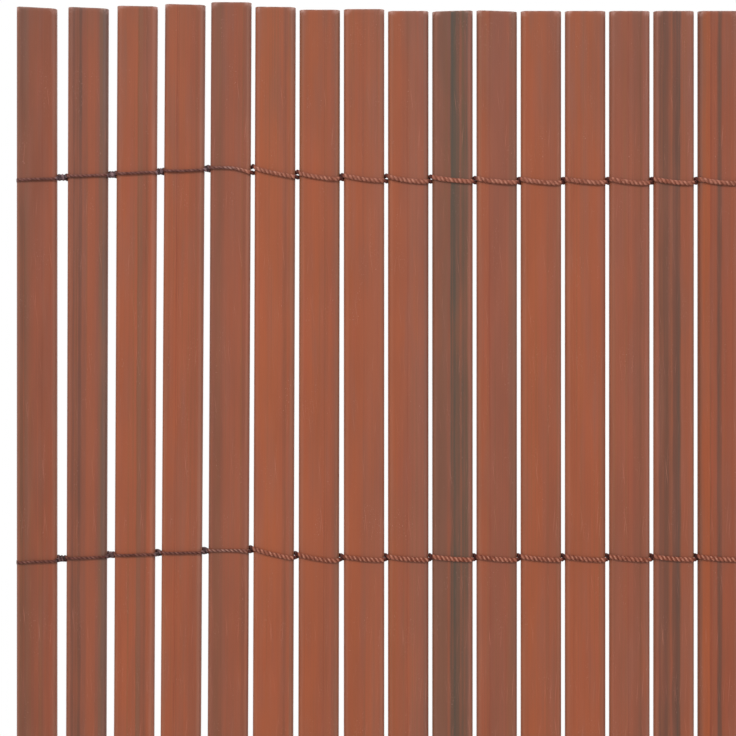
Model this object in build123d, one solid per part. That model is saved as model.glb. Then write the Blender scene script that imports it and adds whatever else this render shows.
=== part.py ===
from build123d import *

import math
import os

os.makedirs("parts", exist_ok=True)

# A privacy screen: upright hollow slats, held side by side by rows of twined binding cord.
# X runs along the screen, Z is up and its front faces -Y. Lengths in mm, angles in degrees.

# Slats
slat_count = 32
slat_length = 900.0
slat_width = 20.0
slat_depth = 5.6
slat_wall = 0.7
bore_chamfer = 1.3

# Binding cords
cord_diameter = 1.6
cord_sides = 6
cord_seat = 0.03  # between a cord and the slat face that it lies on
cord_play = 0.1  # between a cord and the slat edge that it passes
strand_room = 0.7  # between the two strands of a row where they pass each other in a gap
knot_diameter = 4.0
knot_length = 4.4
knot_chamfer = 0.9

# Cord rows
row_count = 5
top_margin = 83.2
bottom_margin = 74.2

# The first slats sit loose. Each list runs from the left, and the slats past its end are regular.
extra_gaps = [3.6, 2.4, 1.7, 0.9]  # how much wider the gap after each slat is
leans = [0.0, 0.18, 0.28, 0.36, 0.28, 0.20, 0.10]  # each slat's lean about its top, foot to the left
slides = [1.7, 1.6, 2.4, 3.2, 4.3, 2.0, 0.6, 0.9]  # how far each slat has slid up

# How far a row is pulled up, first at the left edge and then at each gap. The last list serves
# every further row.
row_pulls = [
    [0.0, 1.6, 3.0, 4.5, 6.0, 5.5, 3.0, 1.8, 1.1, 0.8, 0.3],
    [-2.5, -0.7, 1.2, 2.2, 3.2, 3.9, 1.0],
]

# Sizes that follow from those above
cord_radius = cord_diameter / 2
edge_to_cord = cord_play + cord_radius  # from a slat's edge to the middle of the cord beside it
slat_gap = 2 * edge_to_cord
face_to_cord = slat_depth / 2 + cord_seat + cord_radius
strand_rise = cord_radius + strand_room / 2
row_pitch = (slat_length - top_margin - bottom_margin) / (row_count - 1)


def loose(values, index):
    """The value for this slat or gap, or nothing past the end of the list."""
    return values[index] if index < len(values) else 0.0


# Slat middles at the top, first from the left edge and then from the middle of the whole screen
steps = [slat_width + slat_gap + loose(extra_gaps, i) for i in range(slat_count - 1)]
from_left = [slat_width / 2 + sum(steps[:i]) for i in range(slat_count)]
left_end = -cord_play - cord_diameter
right_end = from_left[-1] + slat_width / 2 + cord_play + knot_diameter
slat_tops = [x - (left_end + right_end) / 2 for x in from_left]


def slat_middle(index, height):
    """X of a slat's middle at a height, with its lean."""
    drop = slat_length - height
    return slat_tops[index] - drop * math.tan(math.radians(loose(leans, index)))


def row_height(row, gap):
    """Z of a cord row at a gap, where gap 0 is the left edge of the first slat."""
    pulls = row_pulls[min(row, len(row_pulls) - 1)]
    return slat_length - top_margin - row * row_pitch + loose(pulls, gap)


def slat_section():
    """A flattened oval with half-round edges, round a bore with its corners cut off."""
    bore = Rectangle(slat_width - 2 * slat_wall, slat_depth - 2 * slat_wall)
    return SlotOverall(slat_width, slat_depth) - chamfer(bore.vertices(), bore_chamfer)


def make_slat(index):
    """A hollow slat, cut square at both ends, in its place with its lean and its slide."""
    slat = Pos(0, 0, loose(slides, index) - slat_length) * extrude(slat_section(), slat_length)
    return Pos(slat_tops[index], 0, slat_length) * Rot(0, loose(leans, index), 0) * slat


def strand_points(row, starts_in_front):
    """One strand's route from the left edge to the right: over one slat, behind the next.

    In each gap the strand that goes to the back passes below the one that comes to the front.
    """
    points = []
    in_front = starts_in_front
    for index in range(slat_count):
        left_z, right_z = row_height(row, index), row_height(row, index + 1)
        middle = slat_middle(index, left_z)
        left_x = middle - slat_width / 2 - edge_to_cord
        right_x = middle + slat_width / 2 + edge_to_cord
        rise = strand_rise if in_front else -strand_rise
        if index > 0:
            left_z += rise
        if index < slat_count - 1:
            right_z -= rise
        else:
            right_x += (knot_diameter - cord_diameter) / 2
        side = -face_to_cord if in_front else face_to_cord
        points += [Vector(left_x, side, left_z), Vector(right_x, side, right_z)]
        in_front = not in_front
    return points


def make_knot(place):
    """The small knot that ties a cord's two ends at the right edge."""
    outline = Plane.XZ * Rot(0, 0, 90) * RegularPolygon(knot_diameter / 2, cord_sides, major_radius=False)
    knot = extrude(outline, knot_length / 2, both=True)
    ends = knot.faces().filter_by(Axis.Y).edges()
    return Pos(place) * chamfer(ends, knot_chamfer)


def make_cord(row):
    """One cord folded round the left slat, its two strands twined to a knot at the right."""
    out = strand_points(row, True)
    back = strand_points(row, False)
    knot_place = Vector(out[-1].X, 0, out[-1].Z)
    inside_knot = Vector(0, knot_length / 4, 0)
    route = [knot_place + inside_knot, *reversed(back), *out, knot_place - inside_knot]
    start = Plane(origin=route[0], x_dir=(0, 0, 1), z_dir=route[1] - route[0])
    section = start * RegularPolygon(cord_radius, cord_sides)
    cord = sweep(section, path=Polyline(*route), transition=Transition.RIGHT)
    return cord + make_knot(knot_place)


for index in range(slat_count):
    export_step(make_slat(index), f"parts/slat_{index + 1:02d}.step")

for row in range(row_count):
    export_step(make_cord(row), f"parts/binding_cord_{row + 1}.step")
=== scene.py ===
import math
import random

import bpy
import numpy as np
from mathutils import Matrix, Vector


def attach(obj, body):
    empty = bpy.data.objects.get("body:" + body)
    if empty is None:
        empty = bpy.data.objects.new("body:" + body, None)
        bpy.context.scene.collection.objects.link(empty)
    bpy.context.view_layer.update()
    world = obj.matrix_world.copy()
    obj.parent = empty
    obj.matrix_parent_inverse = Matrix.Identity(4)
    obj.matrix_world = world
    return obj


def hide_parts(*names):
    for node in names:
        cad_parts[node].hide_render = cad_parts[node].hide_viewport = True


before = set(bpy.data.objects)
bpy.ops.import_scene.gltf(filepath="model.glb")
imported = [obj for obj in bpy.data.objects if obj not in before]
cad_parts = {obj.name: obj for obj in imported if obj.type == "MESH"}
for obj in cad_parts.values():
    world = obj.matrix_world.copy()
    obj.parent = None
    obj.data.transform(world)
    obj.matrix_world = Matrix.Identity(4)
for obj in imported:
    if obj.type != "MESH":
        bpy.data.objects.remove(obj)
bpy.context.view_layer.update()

# A privacy screen: upright hollow slats, held side by side by rows of twined binding cord.
# X runs along the screen, Z is up and its front faces -Y. Lengths in metres.

# Slats
slat_count = 32
slat_length = 0.9
slat_width = 0.020
slat_depth = 0.0056
slat_wall = 0.0007
rim_softness = 0.00012
rim_turn = 60  # degrees: an edge that turns more than this is a rim
smooth_turn = 40  # degrees: a fold less than this is shown smooth
edge_radius = slat_depth / 2
face_width = slat_width - slat_depth
half_girth = face_width + math.pi * edge_radius  # round a slat from one edge's middle to the other
edge_bevel = 0.9999 * edge_radius  # a hair less, so that the bevels don't run into each other
edge_segments = 8
merge_distance = 0.000005
slat_levels = [0.002, 0.02, 0.45, 0.88, 0.898, slat_length]  # the modelled slat's rings above its foot
cut_level = 0.89  # above this a slat follows its own slanting cut
level_play = 1e-6  # a corner this near to a ring's level is on it

# Binding cords
cord_diameter = 0.0016
cord_seat = 0.00003
cord_play = 0.0001
edge_to_cord = cord_play + cord_diameter / 2
slat_gap = 2 * edge_to_cord
yarn_lay = 0.0043  # one turn of the two plies
yarn_step = 0.0003  # from one ring of the cord's mesh to the next
line_fineness = 8  # how finely the cord's line is read back between two of its points
groove_depth = 0.00032  # of the groove between the plies
groove_turn = 32  # degrees on each side of the groove's middle
groove_shade = (1.25, 1.30)  # how dark the groove's painted shade is in its middle, and how fast that fades up the ply
section_turns = [0, 32, 60, 80, 90, 100, 120, 148]  # degrees, over one ply and its groove

# How a cord is pressed: its depth and height over its diameter. On the faces its height grows from the
# stained slats on, to the last two values at these places, in slat widths past those slats.
face_flattening = 0.80
face_heights = [0.84, 1.30, 1.48]
slack_places = [0.8, 5.0]
face_start = 0.0020  # how far before or behind the slats' middle a cord begins to be pressed on a face
face_blend = 0.0014  # and over how much more it comes to be pressed fully
gap_flattening = (1.32, 1.00)  # height and depth in a gap
fold_flattening = (1.25, 0.15)  # and round the first slat's left edge
fold_reach = 0.0015  # how far in from that edge
face_to_cord = slat_depth / 2 + cord_seat + face_flattening * cord_diameter / 2

# Round the first slat's left edge: degrees from the edge, and how far off the slat the cord's middle is
fold_turns = [(78, 0.00060), (45, 0.00028), (12, 0.00016)]

# Cord rows
row_count = 5
top_margin = 0.0832
bottom_margin = 0.0742
row_pitch = (slat_length - top_margin - bottom_margin) / (row_count - 1)

# Knots
knot_diameter = 0.0040
knot_offset = 0.0012  # of its middle past the last gap's
knot_turns = 2
knot_coil_radius = 0.00135
knot_coil_length = 0.0026
knot_coil_steps = 12  # to a turn
knot_tail = 0.0018

# Where each end goes into the knot, as depth and rise, then the core's points from the knot's middle,
# and the coil's last steps, which make its tail
coil_entry = (-0.0019, -0.0004)
core_entry = (0.0026, 0.0002)
knot_core = [
    (0.0, 0.0016, 0.0),
    (0.0, 0.0004, 0.0),
    (0.0, -0.0012, 0.0),
    (0.0003, -0.0026, -0.0005),
    (0.0006, -0.0026 - knot_tail, -0.0012),
]
coil_end = [(0.0002, 0.0006, -0.0012), (0.0003, 0.0004, -knot_tail)]

# The first slats sit loose. Each list runs from the left, and the slats past its end are regular.
extra_gaps = [0.0036, 0.0024, 0.0017, 0.0009]
leans = [0.0, 0.18, 0.28, 0.36, 0.28, 0.20, 0.10]
slides = [0.0017, 0.0016, 0.0024, 0.0032, 0.0043, 0.0020, 0.0006, 0.0009]
cut_drops = [0.0011, 0.0008, 0.0003, 0.0004, 0.0, 0.0002, 0.0, 0.0, 0.0, -0.0006, 0.0007]

# How far a row is pulled up, first at the left edge and then at each gap.
row_pulls = [
    [0.0, 0.0016, 0.0030, 0.0045, 0.0060, 0.0055, 0.0030, 0.0018, 0.0011, 0.0008, 0.0003],
    [-0.0025, -0.0007, 0.0012, 0.0022, 0.0032, 0.0039, 0.0010],
]

# How far each strand passes above or below the row's middle in a gap, from the left edge.
strand_spreads = [
    [0.0, 0.00070, 0.00070, 0.00070, 0.00070, 0.0017, 0.0014, 0.00090, 0.0014, 0.0012, 0.0010],
    [0.0, 0.00070, 0.00070, 0.00070, 0.00070],
]
plain_spread = 0.00082
pass_depth = 0.0016  # how far before and behind the slats' middle a strand's points in a gap are

# A gap this wide has its strands twisted one and a half times
twisted_gap = 0.0032
twist_steps = 8
twist_turn = 60  # degrees a step
twist_depth = 0.0008
twist_spread = 1.15  # times the strands' spread
twist_play = 0.0004  # between the twist and the two slats' edges
twist_entry = 0.0026  # how far before or behind the slats' middle the strands pass those edges

# A strand's rise over the row's middle at five places across a slat
run_places = [-0.0089, -0.0040, 0.0015, 0.0060, 0.0089]
tight_run = [0.0001, -0.0002, -0.0005, -0.0008, -0.0010]
slack_run = [0.0002, -0.0007, -0.0013, -0.0016, -0.0015]
level_run = [0.0003, -0.0003, -0.0008, -0.0010, -0.0011]
back_run = [-0.0008, -0.0010, -0.0003, 0.0004, 0.0007]

# The runs over the slats' fronts, from the first slat on. The last serves every further slat, and
# the last list every further row.
front_runs = [
    [
        tight_run,
        [0.0003, -0.0001, -0.0003, -0.0004, -0.0006],
        [0.0001, -0.0003, -0.0004, -0.0005, -0.0008],
        [-0.0001, -0.0006, -0.0009, -0.0009, -0.0010],
        [0.0000, 0.0002, 0.0002, -0.0006, -0.0015],
        [0.0001, -0.0005, -0.0010, -0.0012, -0.0014],
        [0.0000, -0.0009, -0.0014, -0.0018, -0.0015],
        slack_run, slack_run, level_run, slack_run,
    ],
    [
        tight_run,
        [0.0003, -0.0001, -0.0004, -0.0005, -0.0007],
        [0.0000, -0.0004, -0.0004, -0.0005, -0.0007],
        [0.0001, -0.0003, -0.0004, -0.0006, -0.0007],
        [0.0002, 0.0002, 0.0000, -0.0003, -0.0008],
        [0.0004, -0.0005, -0.0009, -0.0012, -0.0014],
        slack_run,
        level_run,
    ],
]
sag_play = (0.85, 1.15)  # each run is a little flatter or fuller than written, between these

# Where a cord is dark: over the first slats, its own colour, half so up to a little past the next one's
# middle;
# and in each gap, a painted shade. A fade is a length, and a reach is how far past the slat's edge it
# goes, in fades.
stained_slats = 4
stain_fade = 0.003
half_stain_ends = [0.002, 0.0105]
half_stains = [0.75, 0.5]
half_stain_fade = 0.012
gap_shade_fade = 0.0005
gap_shade_reaches = (0.9, 0.2)  # over the gap's left slat and over its right one

# View
photo_width = 736
metres_per_pixel = 0.0004916  # at the slats' faces
view_middle = (-0.18025, 0.7244)
view_distance = 0.889  # from the slats' faces
sensor_width = 36.0  # in millimetres, as the lens is

# Studio
floor_radius = 2.0
floor_drop = 0.0002  # below the slats' feet
floor_fade = (0.9, 1.9)  # from where to where it fades to white
room_light = 0.525
softboxes = [  # name, the way its light goes, strength, and softness in degrees
    ("left_softbox", (0.50, 0.70, -0.62), 1.20, 16),
    ("right_softbox", (-0.50, 0.70, -0.62), 1.07, 16),
    ("back_softbox", (-0.25, -0.80, -0.55), 1.6, 40),
]

# Where the seeded choices and the patterns of each piece start
cord_seed = 40
slat_seed = 700
pattern_start, pattern_step = 5.0, 1.9


def paint(red, green, blue):
    """A colour as read off a paint card, from 0 to 255, turned into the light that it gives."""
    light = []
    for part in (red, green, blue):
        share = part / 255
        light.append(share / 12.92 if share <= 0.04045 else ((share + 0.055) / 1.055) ** 2.4)
    return (*light, 1.0)


# Slat tones, as each would look in plain light
terracotta = (144, 73, 44)
warm_clay = (149, 74, 41)
bright_clay = (156, 79, 46)
red_clay = (136, 66, 38)
dull_clay = (133, 71, 49)
brown_clay = (120, 65, 44)
rosy_clay = (138, 71, 53)

# Streaks
olive = (110, 75, 35)
grey_olive = (104, 75, 56)
slate = (70, 58, 46)
blue_grey = (78, 74, 70)
umber = (94, 52, 22)
bark = (84, 50, 36)
dark_red = (110, 38, 14)
orange = (165, 77, 23)
warm_orange = (157, 76, 36)
brick = (152, 68, 42)
mauve = (146, 102, 92)
# Painted reflection and light at the slats' edges: paler and greyer, the left edge lighter and warmer
left_edge_reflection = (174, 112, 88)
right_edge_reflection = (160, 116, 100)
mauve_brown = (130, 80, 64)
pink = (178, 112, 92)
pale = (196, 154, 142)

# How they lie. Widths are shares of the slat's.
edge_reflection_reach = 0.13  # how far in from its edges a slat is painted paler and greyer, a painted reflection
edge_reflection_share = 0.8  # and how far the edge itself takes that painted reflection
line_softness = 0.012  # the width over which a line's side fades out
band_softness = 0.35  # and for a band, how much of its own width is added to that
thin_streak = 0.02  # up to this width a streak is a line

# What is left of a colour's light: at a slat's dull ends; along its middle, a painted shade; and in a
# cord below the top row, a painted shade that is deepest in its grooves
end_dulling = (0.89, 1.0, 1.13, 1.0)
middle_shade = (0.94, 0.93, 0.90, 1.0)
lower_row_shade = (0.78, 0.66, 0.58, 1.0)


def loose(values, index, plain=0.0):
    """The value for this slat or gap, or the plain one past the end of the list."""
    return values[index] if index < len(values) else plain


# Slat middles at the top, first from the left edge and then from the middle of the whole screen
steps = [slat_width + slat_gap + loose(extra_gaps, i) for i in range(slat_count - 1)]
from_left = [slat_width / 2 + sum(steps[:i]) for i in range(slat_count)]
left_end = -cord_play - cord_diameter
right_end = from_left[-1] + slat_width / 2 + cord_play + knot_diameter
slat_tops = [x - (left_end + right_end) / 2 for x in from_left]


def slat_middle(slat, height):
    """X of a slat's middle at a height, with its lean."""
    return slat_tops[slat] - (slat_length - height) * math.tan(math.radians(loose(leans, slat)))


def row_height(row, gap):
    """Z of a cord row at a gap, where gap 0 is the left edge of the first slat."""
    pulls = row_pulls[min(row, len(row_pulls) - 1)]
    return slat_length - top_margin - row * row_pitch + loose(pulls, gap)


def gap_middle(gap, height):
    """X of a gap's middle. The first and the last lie beside the screen's own edges."""
    if gap == 0:
        return slat_middle(0, height) - slat_width / 2 - edge_to_cord
    if gap == slat_count:
        return slat_middle(gap - 1, height) + slat_width / 2 + edge_to_cord
    return (slat_middle(gap - 1, height) + slat_middle(gap, height)) / 2


def place_camera():
    """Stands the camera square to the slats' faces, as far off as the photograph was taken."""
    camera_data = bpy.data.cameras.new("front_camera")
    camera_data.sensor_width = sensor_width
    camera_data.lens = sensor_width * view_distance / (photo_width * metres_per_pixel)
    camera_data.clip_end = 50.0
    camera = bpy.data.objects.new("front_camera", camera_data)
    bpy.context.scene.collection.objects.link(camera)
    camera.location = (view_middle[0], -slat_depth / 2 - view_distance, view_middle[1])
    camera.rotation_euler = (math.radians(90), 0, 0)
    bpy.context.scene.camera = camera


# Cords

def crossing(gap, side, height, spread):
    """A strand's way through a gap, below the middle if it comes from the front, else above."""
    middle = gap_middle(gap, height)
    width = slat_middle(gap, height) - slat_middle(gap - 1, height) - slat_width
    if width < twisted_gap:
        reach = max(0.0, width - slat_gap) / 3
        places = [(-reach, side * pass_depth, side * spread), (reach, -side * pass_depth, side * spread)]
    else:
        places = [(-width / 2, side * twist_entry, side * spread)]
        for step in range(1, twist_steps + 1):
            turn = math.radians(twist_turn * step)
            along = (step / (twist_steps + 1) - 0.5) * (width - twist_play)
            depth = side * twist_depth * math.cos(turn)
            places.append((along, depth, side * spread * twist_spread * math.sin(turn)))
        places.append((width / 2, -side * twist_entry, side * spread))
    return [Vector((middle + x, y, height + z)) for x, y, z in places]


def strand_route(row, in_front, hand):
    """One strand's points from the left edge to the right: over one slat, behind the next."""
    spreads = strand_spreads[min(row, len(strand_spreads) - 1)]
    runs = front_runs[min(row, len(front_runs) - 1)]
    points = []
    for slat in range(slat_count):
        left, right = row_height(row, slat), row_height(row, slat + 1)
        middle = slat_middle(slat, left)
        side = -1 if in_front else 1
        run = runs[min(slat, len(runs) - 1)] if in_front else back_run
        sag = hand.uniform(*sag_play)
        for place, rise in zip(run_places, run):
            share = (place + slat_width / 2) / slat_width
            height = left + (right - left) * share + rise * sag
            points.append(Vector((middle + place, side * face_to_cord, height)))
        gap = slat + 1
        if gap < slat_count:
            spread = loose(spreads, gap, plain_spread)
            points += crossing(gap, side, right, spread)
        in_front = not in_front
    return points


def knot_route(place):
    """The two ends of a cord at the right edge: a core that goes through, and a coil round it."""
    core = [place + Vector(step) for step in knot_core]
    coil = []
    steps_in_all = knot_turns * knot_coil_steps
    for step in range(steps_in_all + 4):
        turn = 2 * math.pi * step / knot_coil_steps
        along = knot_coil_length * (step / steps_in_all - 0.5)
        spin = Vector((-math.cos(turn), 0, math.sin(turn))) * knot_coil_radius
        coil.append(place + spin + Vector((0, along, 0)))
    for step in coil_end:
        coil.append(coil[-1] + Vector(step))
    return core, coil


def cord_route(row):
    """One cord: from its tail in the knot back to the left edge, round it, and out again."""
    hand = random.Random(cord_seed + row)
    out = strand_route(row, True, hand)
    back = strand_route(row, False, hand)
    left, right = row_height(row, 0), row_height(row, slat_count)
    edge = gap_middle(slat_count, right)
    edge_centre = Vector((slat_middle(0, left) - face_width / 2, 0, left))
    to_front = []
    for degrees, off in fold_turns:
        turn, reach = math.radians(degrees), edge_radius + off
        to_front.append(Vector((-reach * math.cos(turn), -reach * math.sin(turn), 0)))
    front_turn = [edge_centre + step for step in reversed(to_front)]
    back_turn = [edge_centre + Vector((step.x, -step.y, 0)) for step in to_front]
    core, coil = knot_route(Vector((edge + knot_offset, 0, right)))
    front_end = [Vector((edge, coil_entry[0], right + coil_entry[1])), *coil]
    back_end = [Vector((edge, core_entry[0], right + core_entry[1])), *core]
    return [*reversed(front_end), *reversed(back[1:]), *back_turn, *front_turn, *out[1:], *back_end]


def smooth_line(points, name):
    """The cord's own line: a smooth spline with these points as its controls, read back finely."""
    curve = bpy.data.curves.new(name, "CURVE")
    curve.dimensions = "3D"
    curve.resolution_u = line_fineness
    spline = curve.splines.new("NURBS")
    spline.points.add(len(points) - 1)
    for knot, point in zip(spline.points, points):
        knot.co = (*point, 1.0)
    spline.order_u = 3
    spline.use_endpoint_u = True
    holder = bpy.data.objects.new(name, curve)
    bpy.context.scene.collection.objects.link(holder)
    line = bpy.data.meshes.new_from_object(holder)
    fine = np.array([vertex.co[:] for vertex in line.vertices])
    bpy.data.objects.remove(holder)
    bpy.data.curves.remove(curve)
    bpy.data.meshes.remove(line)
    return fine


def walk_evenly(fine):
    """Evenly spaced places along a line, each with its direction and an upright across it."""
    runs = np.linalg.norm(np.diff(fine, axis=0), axis=1)
    keep = np.concatenate([[True], runs > 1e-9])
    fine = fine[keep]
    along = np.concatenate([[0.0], np.cumsum(np.linalg.norm(np.diff(fine, axis=0), axis=1))])
    count = int(along[-1] / yarn_step)
    stops = np.linspace(0.0, along[-1], count)
    places = np.stack([np.interp(stops, along, fine[:, axis]) for axis in range(3)], axis=1)
    ahead = np.gradient(places, axis=0)
    ahead /= np.linalg.norm(ahead, axis=1)[:, None]
    uprights = np.array([[0.0, 0.0, 1.0]]) - ahead * ahead[:, 2:]
    uprights /= np.linalg.norm(uprights, axis=1)[:, None]

    # In the knot the cord turns down, so there the upright is carried on from place to place
    clear_of_knot = np.flatnonzero(places[:, 0] < slat_tops[-1] + slat_width / 2)
    first, last = clear_of_knot[0], clear_of_knot[-1]
    to_start = [(index, index + 1) for index in range(first - 1, -1, -1)]
    to_end = [(index, index - 1) for index in range(last + 1, count)]
    for index, before in to_start + to_end:
        upright = uprights[before] - ahead[index] * np.dot(uprights[before], ahead[index])
        uprights[index] = upright / np.linalg.norm(upright)
    return places, ahead, uprights, stops


def flattening(places):
    """The cord's height and depth over its diameter: on a face, in a gap, or round the first edge."""
    on_face = np.clip((np.abs(places[:, 1]) - face_start) / face_blend, 0, 1)
    on_face = (on_face * on_face * (3 - 2 * on_face))[:, None]
    tight_end = slat_middle(stained_slats, 0.5 * slat_length)
    growth = [tight_end, *(tight_end + place * slat_width for place in slack_places)]
    face_height = np.interp(places[:, 0], growth, face_heights)
    face_size = np.stack([face_height, np.full(len(places), face_flattening)], axis=1)
    left_edge = slat_middle(0, 0.5 * slat_length) - slat_width / 2 + fold_reach
    at_fold = (places[:, 0] < left_edge)[:, None]
    loose_size = np.where(at_fold, np.array([fold_flattening]), np.array([gap_flattening]))
    sizes = loose_size + (face_size - loose_size) * on_face
    return sizes[:, :1], sizes[:, 1:]


def spin_yarn(name, fine):
    """A cord of two plies laid round each other along a line, with its ends closed."""
    places, ahead, uprights, stops = walk_evenly(fine)
    sideways = np.cross(ahead, uprights)
    section = np.radians([turn + half for half in (0, 180) for turn in section_turns])
    away = np.minimum(np.abs(np.degrees(section) % 180 - 90) / groove_turn, 1.0)
    reach = cord_diameter / 2 - groove_depth * (1 - away) ** 1.5
    turn = 2 * math.pi * stops[:, None] / yarn_lay + section[None, :]
    tall, deep = flattening(places)
    rings = places[:, None, :] + (
        (tall * reach * np.cos(turn))[:, :, None] * uprights[:, None, :]
        + (deep * reach * np.sin(turn))[:, :, None] * sideways[:, None, :]
    )
    sides = len(section)
    count = len(places)
    low = (np.arange(count - 1) * sides)[:, None] + np.arange(sides)[None, :]
    after = (np.arange(count - 1) * sides)[:, None] + (np.arange(sides)[None, :] + 1) % sides
    faces = np.stack([low, after, after + sides, low + sides], axis=2).reshape(-1, 4).tolist()
    faces.append(list(reversed(range(sides))))
    faces.append(list(range((count - 1) * sides, count * sides)))
    vertices = rings.reshape(-1, 3)
    mesh = bpy.data.meshes.new(name)
    mesh.from_pydata(vertices.tolist(), [], faces)
    mesh.polygons.foreach_set("use_smooth", [True] * len(mesh.polygons))
    cord = bpy.data.objects.new(name, mesh)
    bpy.context.scene.collection.objects.link(cord)
    wrap = mesh.uv_layers.new(name="yarn_wrap")
    corners = np.zeros(len(mesh.loops), dtype=np.int32)
    mesh.loops.foreach_get("vertex_index", corners)
    around = np.tile(section / (2 * math.pi), count)[corners]
    along = np.repeat(stops, sides)[corners]
    wrap.data.foreach_set("uv", np.stack([around, along], axis=1).ravel())
    # How far each ring's point lies in the groove: the mask for the cord's painted groove shade and crest
    # highlight
    groove = np.tile(np.clip(groove_shade[0] - groove_shade[1] * np.abs(np.cos(section)), 0, 1), count)
    return cord, vertices, groove


def stain_cord(cord, row, vertices, groove):
    """Writes where the cord is dark: painted shade from slat to slat in each gap, and its own dark colour
    over the first slats.
    """
    x = vertices[:, 0]
    height = row_height(row, slat_count)
    shade = np.zeros(len(x))
    left_reach, right_reach = gap_shade_reaches
    # Painted shade: the cord is darkened from slat to slat in each gap
    for gap in range(1, slat_count):
        into_left = (x - slat_middle(gap - 1, height) - slat_width / 2) / gap_shade_fade + left_reach
        into_right = (slat_middle(gap, height) - slat_width / 2 - x) / gap_shade_fade + right_reach
        inside = np.clip(np.minimum(into_left, into_right), 0, 1)
        shade = np.maximum(shade, inside * inside * (3 - 2 * inside))
    middle = slat_middle(stained_slats, height)
    dark_end = middle - slat_width / 2
    half_end = middle + loose(half_stain_ends, row, half_stain_ends[-1])
    half = loose(half_stains, row, half_stains[-1])
    stained = (1 - half) * np.clip((dark_end - x) / stain_fade + 0.5, 0, 1)
    stained += half * np.clip((half_end - x) / half_stain_fade + 0.5, 0, 1)
    for name, values in (("painted_gap_shade", shade), ("stained", stained), ("groove", groove)):
        written = cord.data.attributes.new(name, "FLOAT", "POINT")
        written.data.foreach_set("value", values.astype(np.float32))


# Finishes

def new_finish(name):
    """An empty material with its surface shader, ready for its own pattern."""
    material = bpy.data.materials.new(name)
    material.use_nodes = True
    tree = material.node_tree
    return material, tree, tree.nodes["Principled BSDF"]


def add(tree, kind, inputs=None, **settings):
    """One node with its settings. An input is a number or colour, or the socket that feeds it."""
    node = tree.nodes.new(kind)
    for name, value in settings.items():
        setattr(node, name, value)
    for name, value in (inputs or {}).items():
        if isinstance(value, bpy.types.NodeSocket):
            tree.links.new(value, node.inputs[name])
        else:
            node.inputs[name].default_value = value
    return node


def sums(tree, operation, *values):
    """One or two values put through one sum."""
    return add(tree, "ShaderNodeMath", dict(enumerate(values)), operation=operation).outputs[0]


def spread_over(tree, value, low, high, new_low, new_high):
    """A value stretched from one range to another, and held inside the new one."""
    inputs = {"Value": value, "From Min": low, "From Max": high, "To Min": new_low, "To Max": new_high}
    return add(tree, "ShaderNodeMapRange", inputs).outputs["Result"]


def grain(tree, coordinates, shift, stretch, detail=2.0, roughness=0.5, distortion=0.0):
    """Cloudy grain on coordinates that are first stretched."""
    mapped = add(tree, "ShaderNodeMapping", {"Vector": coordinates, "Location": shift, "Scale": stretch})
    inputs = {
        "Vector": mapped.outputs["Vector"],
        "Scale": 1.0,
        "Detail": detail,
        "Roughness": roughness,
        "Distortion": distortion,
    }
    return add(tree, "ShaderNodeTexNoise", inputs).outputs["Fac"]


def blend_colours(tree, share, first, second, mode="MIX"):
    """Two colours mixed by a share."""
    node = add(tree, "ShaderNodeMix", data_type="RGBA", blend_type=mode)
    for index, value in ((0, share), (6, first), (7, second)):
        if isinstance(value, bpy.types.NodeSocket):
            tree.links.new(value, node.inputs[index])
        else:
            node.inputs[index].default_value = value
    return node.outputs[2]


def round_place(across):
    """Turns a place across a slat's face, 0 to 1, into the share of the way round to its far edge."""
    x = (across - 0.5) * slat_width
    flat_end = face_width / 2
    if x < -flat_end:
        return edge_radius * math.acos(min(1.0, (-x - flat_end) / edge_radius)) / half_girth
    if x > flat_end:
        return 1 - edge_radius * math.acos(min(1.0, (x - flat_end) / edge_radius)) / half_girth
    return (edge_radius * math.pi / 2 + x + flat_end) / half_girth


def softness(start, end):
    """How far a streak fades out on each side: a line is crisp and a broad band is soft."""
    return line_softness + band_softness * (end - start)


def tone_across(across, tones, streaks):
    """The colour at a place across one side of a slat, and how far a streak covers its own tone."""
    left, right = tones
    colour = [a + (b - a) * across for a, b in zip(left, right)]
    # Painted reflection: the slat is made paler and greyer towards its edges, lighter and warmer on the
    # left
    at_edge = max(0.0, 1 - min(across, 1 - across) / edge_reflection_reach) * edge_reflection_share
    colour = [a + (b - a) * at_edge for a, b in zip(colour, left_edge_reflection if across < 0.5 else right_edge_reflection)]
    cover = 0.0
    for start, end, streak, strength in streaks:
        away = max(start - across, across - end, 0.0)
        share = max(0.0, 1 - away / softness(start, end)) * strength
        colour = [a + (b - a) * share for a, b in zip(colour, streak)]
        cover = max(cover, share)
    return (*paint(*colour)[:3], cover)


def streak_ramp(tree, place, tones, streaks):
    """A colour ramp that holds one side's tones and streaks, and in its alpha how far those cover."""
    stops = {0.02, edge_reflection_reach, 0.5, 1 - edge_reflection_reach, 0.98}
    for start, end, streak, strength in streaks:
        soft = softness(start, end)
        inner = (start, end) if end - start > thin_streak else ((start + end) / 2,)
        stops.update(round(min(1.0, max(0.0, stop)), 3) for stop in (start - soft, *inner, end + soft))
    ramp = add(tree, "ShaderNodeValToRGB", {"Fac": place})
    elements = ramp.color_ramp.elements
    # The ramp's ends hold the edges' painted reflection
    elements[0].position, elements[0].color = 0.0, (*paint(*left_edge_reflection)[:3], 0.0)
    elements[1].position, elements[1].color = 1.0, (*paint(*right_edge_reflection)[:3], 0.0)
    for stop in sorted(stops):
        element = elements.new(round_place(stop))
        element.color = tone_across(stop, tones, streaks)
    return ramp.outputs


def shaded(tree, colour, level):
    """A colour made lighter or darker by a level."""
    grey = add(tree, "ShaderNodeCombineColor", {"Red": level, "Green": level, "Blue": level})
    return blend_colours(tree, 1.0, colour, grey.outputs["Color"], "MULTIPLY")


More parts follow.
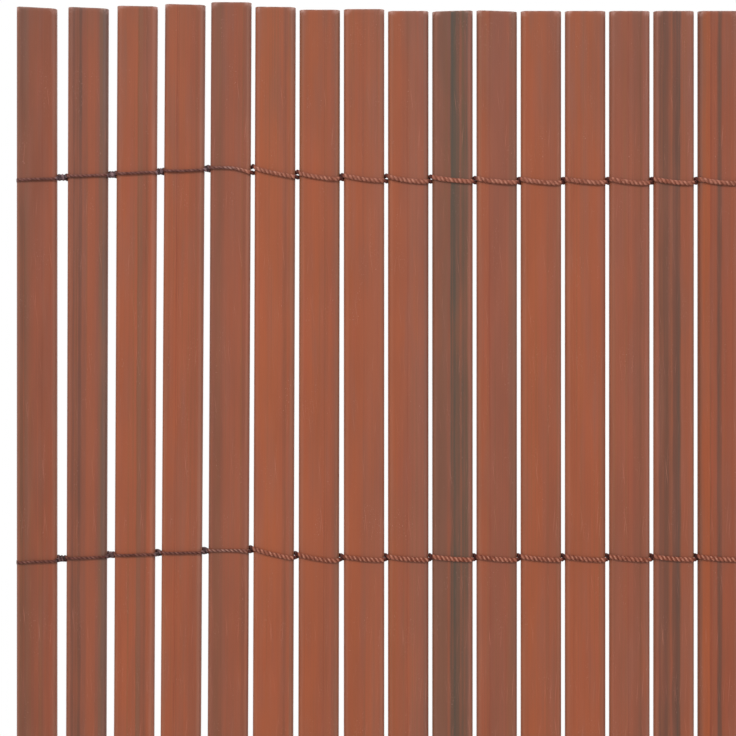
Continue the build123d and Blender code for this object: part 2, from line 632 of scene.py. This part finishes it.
def slat_finish(name, front, back, seed):
    """Satin plastic with wood-like streaks along the slat, each side with its own."""
    material, tree, surface = new_finish(name)
    wrap = add(tree, "ShaderNodeUVMap", uv_map="slat_wrap").outputs["UV"]
    parts = add(tree, "ShaderNodeSeparateXYZ", {"Vector": wrap})
    around, height = parts.outputs["X"], parts.outputs["Y"]
    from_end = sums(tree, "MINIMUM", height, sums(tree, "SUBTRACT", 1.0, height))

    # The streaks wander a little on their way up, and come and go
    drift = grain(tree, wrap, (seed, seed * 0.7, 0.0), (0.6, 4.0, 1.0))
    drift = spread_over(tree, drift, 0.3, 0.7, -0.006, 0.006)
    ragged = grain(tree, wrap, (seed, 3.3, 0.0), (60.0, 42.0, 1.0), detail=3.0)
    ragged = spread_over(tree, ragged, 0.3, 0.7, -0.006, 0.006)
    wandering = sums(tree, "ADD", sums(tree, "ADD", around, drift), ragged)
    front_place = sums(tree, "MULTIPLY", wandering, 2.0)
    back_place = sums(tree, "SUBTRACT", front_place, 1.0)
    at_front = streak_ramp(tree, front_place, *front)
    at_back = streak_ramp(tree, back_place, *back)
    on_back = sums(tree, "GREATER_THAN", around, 0.5)
    streaked = blend_colours(tree, on_back, at_front["Color"], at_back["Color"])
    front_cover = sums(tree, "MULTIPLY", at_front["Alpha"], sums(tree, "SUBTRACT", 1.0, on_back))
    cover = sums(tree, "ADD", front_cover, sums(tree, "MULTIPLY", at_back["Alpha"], on_back))
    bare = spread_over(tree, cover, 0.0, 1.0, 1.0, 0.35)
    plain = paint(*[(a + b) / 2 for a, b in zip(*front[0])])
    fading = grain(tree, wrap, (seed * 1.3, 4.0, 0.0), (9.0, 9.0, 1.0), detail=4.0)
    fading = spread_over(tree, fading, 0.44, 0.75, 0.0, 0.34)
    colour = blend_colours(tree, sums(tree, "MULTIPLY", fading, bare), streaked, plain)

    # Warm and dull blotches, a finger long, and the dull ends
    warm = grain(tree, wrap, (seed * 0.9, 13.0, 0.0), (6.0, 15.0, 1.0), detail=3.0)
    warm = spread_over(tree, warm, 0.48, 0.74, 0.0, 0.34)
    redness = grain(tree, wrap, (seed * 2.3, 17.0, 0.0), (5.0, 9.0, 1.0), detail=2.0)
    redness = spread_over(tree, redness, 0.40, 0.60, 0.0, 1.0)
    warm_tone = blend_colours(tree, redness, paint(*warm_orange), paint(*brick))
    colour = blend_colours(tree, sums(tree, "MULTIPLY", warm, bare), colour, warm_tone)
    dull = grain(tree, wrap, (seed * 1.7, 29.0, 0.0), (9.0, 13.0, 1.0), detail=3.0)
    dull_share = spread_over(tree, dull, 0.46, 0.70, 0.0, 0.38)
    colour = blend_colours(tree, sums(tree, "MULTIPLY", dull_share, bare), colour, paint(*mauve_brown))
    ends = spread_over(tree, from_end, 0.002, 0.095, 1.0, 0.0)
    dull_end = sums(tree, "MULTIPLY", ends, spread_over(tree, dull, 0.32, 0.58, 0.25, 1.0))
    colour = blend_colours(tree, dull_end, colour, end_dulling, "MULTIPLY")
    # Painted shade: a slat is darker along its middle than near its ends
    at_middle = spread_over(tree, from_end, 0.16, 0.40, 0.0, 1.0)
    colour = blend_colours(tree, at_middle, colour, middle_shade, "MULTIPLY")

    # Grain lines, from broad to fine
    broad_grain = grain(tree, wrap, (3.1, seed, 0.0), (46.0, 2.2, 1.0), detail=3.0)
    darker = spread_over(tree, broad_grain, 0.54, 0.75, 0.0, 0.34)
    colour = blend_colours(tree, darker, colour, paint(*olive))
    warmer = spread_over(tree, broad_grain, 0.44, 0.28, 0.0, 0.22)
    colour = blend_colours(tree, warmer, colour, paint(*warm_orange))
    lines = grain(tree, wrap, (seed * 2.1, 8.0, 0.0), (110.0, 7.0, 1.0), detail=3.0, roughness=0.6)
    colour = shaded(tree, colour, spread_over(tree, lines, 0.3, 0.7, 0.93, 1.05))
    hairlines = grain(tree, wrap, (seed, 1.7, 0.0), (300.0, 12.0, 1.0), detail=3.0, roughness=0.65)
    colour = shaded(tree, colour, spread_over(tree, hairlines, 0.3, 0.7, 0.965, 1.025))
    clouds = grain(tree, wrap, (seed * 0.31, 7.0, 0.0), (5.0, 16.0, 1.0), detail=4.0)
    colour = shaded(tree, colour, spread_over(tree, clouds, 0.3, 0.7, 0.92, 1.05))

    # Specks, fine slanting scratches and small pale scuffs
    specks = grain(tree, wrap, (seed, 11.0, 0.0), (110.0, 900.0, 1.0), detail=1.0)
    specks = spread_over(tree, specks, 0.76, 0.82, 0.0, 0.5)
    colour = blend_colours(tree, specks, colour, paint(*umber))
    worn_patch = grain(tree, wrap, (seed, 53.0, 0.0), (10.0, 34.0, 1.0), detail=1.0)
    scratched = spread_over(tree, worn_patch, 0.44, 0.60, 0.45, 1.25)
    for slope, start in ((2.2, 23.0), (-1.3, 37.0)):
        aslant = sums(tree, "ADD", around, sums(tree, "MULTIPLY", height, slope))
        aslant = add(tree, "ShaderNodeCombineXYZ", {"X": aslant, "Y": height}).outputs["Vector"]
        scratches = grain(tree, aslant, (seed, start, 0.0), (170.0, 34.0, 1.0), detail=1.0)
        scratches = spread_over(tree, scratches, 0.71, 0.78, 0.0, 0.60)
        colour = blend_colours(tree, sums(tree, "MULTIPLY", scratches, scratched), colour, paint(*pink))
    scuffs = grain(tree, wrap, (seed, 47.0, 0.0), (150.0, 1100.0, 1.0), detail=2.0)
    scuffs = spread_over(tree, scuffs, 0.66, 0.73, 0.0, 0.62)
    scuffed = spread_over(tree, worn_patch, 0.55, 0.65, 0.0, 1.0)
    colour = blend_colours(tree, sums(tree, "MULTIPLY", scuffs, scuffed), colour, paint(*pale))

    # The saw's mark, a thin line at the cut, and a painted highlight: the corners made pale
    bruise_and_glint = grain(tree, wrap, (seed, 2.0, 0.0), (19.0, 330.0, 1.0), detail=3.0, roughness=0.6)
    bruise_and_glint = spread_over(tree, bruise_and_glint, 0.40, 0.62, 0.0, 1.0)
    cut_tone = blend_colours(tree, bruise_and_glint, paint(*umber), paint(*pale))
    cut_line = spread_over(tree, from_end, 0.0002, 0.0007, 0.50, 0.0)
    colour = blend_colours(tree, cut_line, colour, cut_tone)
    face_place = sums(tree, "PINGPONG", around, 0.25)
    at_corner = spread_over(tree, face_place, 0.135, 0.03, 0.0, 1.0)
    near_end = spread_over(tree, from_end, 0.0006, 0.0036, 0.80, 0.0)
    corner_highlight = sums(tree, "MULTIPLY", sums(tree, "MULTIPLY", at_corner, bruise_and_glint), near_end)
    colour = blend_colours(tree, corner_highlight, colour, paint(*pale))
    tree.links.new(colour, surface.inputs["Base Color"])

    sheen_level = spread_over(tree, lines, 0.3, 0.7, 0.36, 0.52)
    tree.links.new(sheen_level, surface.inputs["Roughness"])
    surface.inputs["Specular IOR Level"].default_value = 0.45
    relief = sums(tree, "ADD", hairlines, sums(tree, "MULTIPLY", broad_grain, 0.6))
    bump = add(tree, "ShaderNodeBump", {"Strength": 0.35, "Distance": 0.00006, "Height": relief})
    tree.links.new(bump.outputs["Normal"], surface.inputs["Normal"])
    return material


def cord_finish():
    """Twisted yarn with painted shade in the gaps, dark over the first slats, red-brown and dusty beyond.
    """
    material, tree, surface = new_finish("twisted_brown_yarn")
    wrap = add(tree, "ShaderNodeUVMap", uv_map="yarn_wrap").outputs["UV"]
    painted_gap_shade = add(tree, "ShaderNodeAttribute", attribute_name="painted_gap_shade").outputs["Fac"]
    stained = add(tree, "ShaderNodeAttribute", attribute_name="stained").outputs["Fac"]
    groove = add(tree, "ShaderNodeAttribute", attribute_name="groove").outputs["Fac"]
    place = add(tree, "ShaderNodeTexCoord").outputs["Object"]
    fibres = grain(tree, wrap, (0.0, 0.0, 0.0), (14.0, 1100.0, 1.0), detail=3.0, roughness=0.6)
    tufts = grain(tree, place, (0.0, 0.0, 0.0), (420.0, 420.0, 420.0), detail=2.0)
    tufts = spread_over(tree, tufts, 0.35, 0.65, 0.0, 1.0)
    light_yarn = blend_colours(tree, tufts, paint(141, 81, 62), paint(176, 113, 93))
    dusty_yarn = blend_colours(tree, tufts, paint(120, 82, 74), paint(158, 120, 112))
    dark_yarn = blend_colours(tree, tufts, paint(96, 56, 48), paint(130, 86, 78))
    colour = blend_colours(tree, spread_over(tree, stained, 0.0, 0.5, 0.0, 1.0), light_yarn, dusty_yarn)
    colour = blend_colours(tree, spread_over(tree, stained, 0.5, 1.0, 0.0, 1.0), colour, dark_yarn)
    # Painted shade: in the gaps the yarn takes these darker tones instead
    light_yarn_gap_shade = blend_colours(tree, tufts, paint(60, 20, 20), paint(116, 64, 56))
    dark_yarn_gap_shade = blend_colours(tree, tufts, paint(52, 34, 36), paint(150, 124, 128))
    shaded_yarn = blend_colours(tree, stained, light_yarn_gap_shade, dark_yarn_gap_shade)
    colour = blend_colours(tree, sums(tree, "MULTIPLY", painted_gap_shade, 0.90), colour, shaded_yarn)
    # Painted shade: the grooves between the plies are darkened, most in the gaps and in the rows below
    # the top one
    face_groove_shade = blend_colours(tree, stained, paint(114, 62, 46), paint(84, 46, 39))
    gap_groove_shade = blend_colours(tree, stained, paint(46, 12, 14), paint(28, 14, 16))
    deep = blend_colours(tree, painted_gap_shade, face_groove_shade, gap_groove_shade)
    height = add(tree, "ShaderNodeSeparateXYZ", {"Vector": place}).outputs["Z"]
    below = spread_over(tree, height, 0.78, 0.70, 0.0, 1.0)
    groove_shade_strength = spread_over(tree, below, 0.0, 1.0, 0.66, 0.75)
    colour = blend_colours(tree, sums(tree, "MULTIPLY", groove, groove_shade_strength), colour, deep)
    colour = shaded(tree, colour, spread_over(tree, fibres, 0.3, 0.7, 0.78, 1.18))

    # Painted highlight: each ply is made pale along its crest, here and there
    crest = spread_over(tree, groove, 0.0, 0.16, 1.0, 0.0)
    crest_highlight = grain(tree, place, (3.0, 5.0, 7.0), (700.0, 700.0, 700.0), detail=1.0)
    crest_highlight = sums(tree, "MULTIPLY", spread_over(tree, crest_highlight, 0.42, 0.62, 0.0, 1.0), crest)
    crest_highlight = sums(tree, "MULTIPLY", crest_highlight, spread_over(tree, below, 0.0, 1.0, 0.36, 0.75))
    crest_highlight = sums(tree, "MULTIPLY", crest_highlight, spread_over(tree, stained, 0.5, 1.0, 1.0, 0.15))
    crest_highlight = sums(tree, "MULTIPLY", crest_highlight, spread_over(tree, painted_gap_shade, 0.0, 0.6, 1.0, 0.0))
    colour = blend_colours(tree, crest_highlight, colour, paint(214, 160, 138))

    # Painted shade: the rows below the top one are made darker and browner, most of all in their grooves
    depth = sums(tree, "MULTIPLY", below, spread_over(tree, groove, 0.0, 0.8, 0.45, 1.0))
    colour = blend_colours(tree, depth, colour, lower_row_shade, "MULTIPLY")
    tree.links.new(colour, surface.inputs["Base Color"])
    roughness = spread_over(tree, fibres, 0.3, 0.7, 0.62, 0.80)
    tree.links.new(roughness, surface.inputs["Roughness"])
    surface.inputs["Specular IOR Level"].default_value = 0.15
    surface.inputs["Sheen Weight"].default_value = 0.06
    surface.inputs["Sheen Roughness"].default_value = 0.5
    bump = add(tree, "ShaderNodeBump", {"Strength": 0.5, "Distance": 0.00008, "Height": fibres})
    tree.links.new(bump.outputs["Normal"], surface.inputs["Normal"])
    return material


# Slats

def draw_slat():
    """One hollow slat, modelled once: its flattened oval outline drawn up to its full length."""
    bpy.ops.object.select_all(action="DESELECT")
    bpy.ops.mesh.primitive_plane_add(size=1.0)
    slat = bpy.context.object
    slat.name = "slat_pattern"
    slat.scale = (slat_width, slat_depth, 1.0)
    bpy.ops.object.transform_apply(location=False, rotation=False, scale=True)
    bpy.ops.object.mode_set(mode="EDIT")
    bpy.ops.mesh.select_all(action="SELECT")
    bpy.ops.mesh.bevel(offset=edge_bevel, segments=edge_segments, affect="VERTICES")
    bpy.ops.mesh.select_all(action="SELECT")
    bpy.ops.mesh.remove_doubles(threshold=merge_distance)
    bpy.ops.mesh.delete(type="ONLY_FACE")
    rise = 0.0
    for height in slat_levels:
        bpy.ops.mesh.select_mode(type="EDGE")
        bpy.ops.mesh.select_all(action="DESELECT")
        bpy.ops.object.mode_set(mode="OBJECT")
        level = rise
        for vertex in slat.data.vertices:
            vertex.select = abs(vertex.co.z - level) < level_play
        for edge in slat.data.edges:
            edge.select = all(slat.data.vertices[v].select for v in edge.vertices)
        bpy.ops.object.mode_set(mode="EDIT")
        bpy.ops.mesh.extrude_region_move(TRANSFORM_OT_translate={"value": (0, 0, height - rise)})
        rise = height
    bpy.ops.mesh.select_all(action="SELECT")
    bpy.ops.mesh.normals_make_consistent(inside=False)
    bpy.ops.object.mode_set(mode="OBJECT")
    return slat


def wrap_slat(slat):
    """Lays the pattern's own coordinates round the slat and along it."""
    mesh = slat.data
    for layer in list(mesh.uv_layers):
        mesh.uv_layers.remove(layer)
    wrap = mesh.uv_layers.new(name="slat_wrap")
    flat_end = face_width / 2
    quarter = math.pi / 2 * edge_radius
    for face in mesh.polygons:
        at_front = face.center.y < 0
        for loop in face.loop_indices:
            place = mesh.vertices[mesh.loops[loop].vertex_index].co
            if abs(place.x) <= flat_end:
                way = quarter + place.x + flat_end
            else:
                turn = math.atan2(abs(place.y), abs(place.x) - flat_end) * edge_radius
                way = turn if place.x < 0 else half_girth - turn
            share = way / half_girth
            around = share / 2 if at_front else 1 - share / 2
            wrap.data[loop].uv = (around, place.z / slat_length)


def finish_slat_pattern(slat):
    """Gives the slat its wall and takes the sharpness off its two cut rims."""
    wall = slat.modifiers.new("wall", "SOLIDIFY")
    wall.thickness = slat_wall
    wall.offset = -1.0
    wall.use_even_offset = True
    rim = slat.modifiers.new("rim", "BEVEL")
    rim.width = rim_softness
    rim.segments = 2
    rim.limit_method = "ANGLE"
    rim.angle_limit = math.radians(rim_turn)
    bpy.context.view_layer.objects.active = slat
    for modifier in ("wall", "rim"):
        bpy.ops.object.modifier_apply(modifier=modifier)
    bpy.ops.object.select_all(action="DESELECT")
    slat.select_set(True)
    bpy.ops.object.shade_smooth_by_angle(angle=math.radians(smooth_turn))


def set_slat(pattern, index):
    """A copy of the pattern with its own mesh, cut, slid and leant as this slat is."""
    slat = bpy.data.objects.new(f"streaked_slat_{index + 1:02d}", pattern.data.copy())
    bpy.context.scene.collection.objects.link(slat)
    drop = loose(cut_drops, index)
    for vertex in slat.data.vertices:
        if vertex.co.z > cut_level:
            vertex.co.z -= drop * vertex.co.x / slat_width
    lean = math.radians(loose(leans, index))
    slide = Matrix.Translation((0, 0, loose(slides, index) - slat_length))
    top = Matrix.Translation((slat_tops[index], 0, slat_length))
    slat.data.transform(top @ Matrix.Rotation(lean, 4, "Y") @ slide)
    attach(slat, "root")
    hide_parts(f"slat_{index + 1:02d}")
    return slat


# Each slat's two tones, left and right, and its streaks: from and to across the face, colour, strength
slat_fronts = [
    ((brown_clay, red_clay), [
        (0.0, 0.20, umber, 0.22), (0.10, 0.22, bark, 0.28), (0.23, 0.30, grey_olive, 0.25),
        (0.64, 0.65, dark_red, 0.40),
    ]),
    ((brown_clay, dull_clay), [
        (0.15, 0.175, bark, 0.40), (0.235, 0.25, umber, 0.40), (0.30, 0.345, bark, 0.55),
        (0.52, 0.68, terracotta, 0.90), (0.81, 0.88, grey_olive, 0.60), (0.90, 1.0, blue_grey, 0.45),
    ]),
    ((warm_clay, terracotta), [
        (0.545, 0.555, umber, 0.35), (0.57, 0.64, grey_olive, 0.50), (0.67, 0.77, brown_clay, 0.55),
        (0.745, 0.755, umber, 0.30), (0.89, 1.0, pink, 0.28),
    ]),
    ((warm_clay, terracotta), [
        (0.325, 0.335, dark_red, 0.45), (0.37, 0.38, umber, 0.25), (0.70, 0.84, brown_clay, 0.28),
        (0.90, 1.0, mauve, 0.22),
    ]),
    ((dull_clay, terracotta), [
        (0.0, 0.04, mauve, 0.50), (0.10, 0.30, brown_clay, 0.80), (0.16, 0.26, olive, 0.15),
        (0.82, 0.88, brown_clay, 0.60), (0.93, 1.0, mauve, 0.20),
    ]),
    ((bright_clay, terracotta), [
        (0.18, 0.55, orange, 0.20), (0.73, 0.80, brown_clay, 0.40), (0.765, 0.775, umber, 0.30),
        (0.92, 1.0, grey_olive, 0.15),
    ]),
    ((warm_clay, terracotta), [
        (0.20, 0.45, orange, 0.15), (0.62, 0.63, dark_red, 0.22), (0.68, 0.69, umber, 0.18),
        (0.82, 0.90, dull_clay, 0.60), (0.90, 1.0, grey_olive, 0.25),
    ]),
    ((warm_clay, terracotta), [
        (0.15, 0.36, orange, 0.10), (0.47, 0.50, brown_clay, 0.20), (0.60, 0.86, mauve, 0.10),
    ]),
    ((warm_clay, dull_clay), [
        (0.05, 0.26, orange, 0.10), (0.47, 0.48, dark_red, 0.22), (0.58, 0.82, mauve, 0.20),
        (0.90, 1.0, mauve_brown, 0.75),
    ]),
    ((brown_clay, brown_clay), [
        (0.0, 0.34, grey_olive, 0.35), (0.60, 0.84, grey_olive, 0.35), (0.47, 0.555, slate, 0.95),
        (0.585, 0.66, slate, 0.55), (0.75, 0.86, slate, 0.58), (0.88, 0.97, mauve, 0.15),
    ]),
    ((terracotta, dull_clay), [
        (0.0, 0.04, mauve, 0.35), (0.06, 0.26, orange, 0.12), (0.31, 0.33, dark_red, 0.35),
        (0.38, 0.62, dull_clay, 0.85), (0.70, 0.71, dark_red, 0.15), (0.82, 0.95, grey_olive, 0.38),
    ]),
    ((warm_clay, terracotta), [(0.10, 0.45, orange, 0.14), (0.66, 0.90, brown_clay, 0.25)]),
    ((warm_clay, warm_clay), [
        (0.20, 0.21, dark_red, 0.15), (0.60, 0.61, umber, 0.12), (0.88, 0.96, dull_clay, 0.70),
    ]),
    ((terracotta, dull_clay), [
        (0.08, 0.30, dull_clay, 0.45), (0.45, 0.46, dark_red, 0.25), (0.60, 0.72, brown_clay, 0.55),
        (0.74, 0.80, brown_clay, 0.50), (0.745, 0.77, umber, 0.30),
    ]),
    ((brown_clay, terracotta), [
        (0.13, 0.17, bark, 0.45), (0.23, 0.34, bark, 0.62), (0.38, 0.40, bark, 0.30),
        (0.465, 0.53, bark, 0.65), (0.55, 0.63, bark, 0.80), (0.59, 0.61, slate, 0.50),
    ]),
    ((red_clay, red_clay), [
        (0.0, 0.09, bark, 0.38), (0.12, 0.27, orange, 0.42), (0.30, 0.32, dark_red, 0.30),
        (0.485, 0.56, bark, 0.62), (0.50, 0.52, slate, 0.30),
    ]),
]


def any_side(hand):
    """Tones and streaks for a side that the photograph doesn't show, picked as the others run."""
    tones = hand.choice([
        (terracotta, dull_clay), (warm_clay, terracotta), (dull_clay, rosy_clay),
        (terracotta, terracotta), (warm_clay, warm_clay), (brown_clay, dull_clay),
    ])
    streaks = []
    for _ in range(hand.randint(1, 4)):
        start = hand.uniform(0.04, 0.9)
        width = hand.choice([0.01, 0.015, 0.03, 0.08, 0.20])
        colour = hand.choice([olive, grey_olive, umber, dark_red, orange, brown_clay, mauve])
        streaks.append((start, min(1.0, start + width), colour, hand.uniform(0.2, 0.6)))
    if hand.random() < 0.15:
        start = hand.uniform(0.1, 0.6)
        streaks.append((start, start + 0.14, slate, 0.85))
    return tones, streaks


# Studio

def lay_floor():
    """A plain pale floor under the screen, which fades to the white round it."""
    bpy.ops.object.select_all(action="DESELECT")
    middle = (0, 0, -floor_drop)
    bpy.ops.mesh.primitive_circle_add(vertices=96, radius=floor_radius, fill_type="NGON", location=middle)
    floor = bpy.context.object
    floor.name = "pale_floor"
    floor.data.transform(floor.matrix_world)
    floor.matrix_world = Matrix.Identity(4)
    material, tree, surface = new_finish("pale_floor_paint")
    place = add(tree, "ShaderNodeTexCoord").outputs["Object"]
    distance = add(tree, "ShaderNodeVectorMath", {0: place}, operation="LENGTH").outputs["Value"]
    surface.inputs["Base Color"].default_value = (0.86, 0.86, 0.86, 1.0)
    surface.inputs["Roughness"].default_value = 0.9
    surface.inputs["Specular IOR Level"].default_value = 0.1
    white = add(tree, "ShaderNodeEmission", {"Color": (1, 1, 1, 1), "Strength": 1.0})
    clear = add(tree, "ShaderNodeBsdfTransparent")
    rays = add(tree, "ShaderNodeLightPath").outputs
    seen = sums(tree, "MAXIMUM", rays["Is Camera Ray"], rays["Is Glossy Ray"])
    edge = add(tree, "ShaderNodeMixShader", {"Fac": seen})
    tree.links.new(clear.outputs["BSDF"], edge.inputs[1])
    tree.links.new(white.outputs["Emission"], edge.inputs[2])
    fade = add(tree, "ShaderNodeMixShader", {"Fac": spread_over(tree, distance, *floor_fade, 0.0, 1.0)})
    tree.links.new(surface.outputs["BSDF"], fade.inputs[1])
    tree.links.new(edge.outputs["Shader"], fade.inputs[2])
    tree.links.new(fade.outputs["Shader"], tree.nodes["Material Output"].inputs["Surface"])
    floor.data.materials.append(material)


def light_studio():
    """Soft light from above on both sides of the front, a weaker one behind, and white all round."""
    world = bpy.data.worlds.new("white_room")
    bpy.context.scene.world = world
    world.use_nodes = True
    tree = world.node_tree
    room = tree.nodes["Background"]
    room.inputs["Color"].default_value = (1.0, 1.0, 1.0, 1.0)
    room.inputs["Strength"].default_value = room_light
    seen = add(tree, "ShaderNodeBackground", {"Color": (1, 1, 1, 1), "Strength": 1.0})
    rays = add(tree, "ShaderNodeLightPath").outputs
    plain_view = sums(tree, "MAXIMUM", rays["Is Camera Ray"], rays["Is Glossy Ray"])
    plain_view = sums(tree, "MAXIMUM", plain_view, rays["Is Transmission Ray"])
    mixed = add(tree, "ShaderNodeMixShader", {"Fac": plain_view})
    tree.links.new(room.outputs["Background"], mixed.inputs[1])
    tree.links.new(seen.outputs["Background"], mixed.inputs[2])
    tree.links.new(mixed.outputs["Shader"], tree.nodes["World Output"].inputs["Surface"])
    for name, towards, strength, angle in softboxes:
        lamp = bpy.data.lights.new(name, "SUN")
        lamp.energy = strength
        lamp.angle = math.radians(angle)
        holder = bpy.data.objects.new(name, lamp)
        bpy.context.scene.collection.objects.link(holder)
        holder.rotation_euler = Vector(towards).to_track_quat("-Z", "Y").to_euler()


place_camera()

cord_yarn = cord_finish()
for row in range(row_count):
    name = f"twined_cord_{row + 1}"
    cord, vertices, groove = spin_yarn(name, smooth_line(cord_route(row), name))
    stain_cord(cord, row, vertices, groove)
    cord.data.materials.append(cord_yarn)
    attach(cord, "root")
    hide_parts(f"binding_cord_{row + 1}")

pattern = draw_slat()
wrap_slat(pattern)
finish_slat_pattern(pattern)
for index in range(slat_count):
    hand = random.Random(slat_seed + index)
    front = slat_fronts[index] if index < len(slat_fronts) else any_side(hand)
    slat = set_slat(pattern, index)
    seed = pattern_start + pattern_step * index
    slat.data.materials.append(slat_finish(f"streaked_pvc_{index + 1:02d}", front, any_side(hand), seed))
bpy.data.objects.remove(pattern)

lay_floor()
light_studio()
bpy.context.scene.view_settings.view_transform = "Standard"
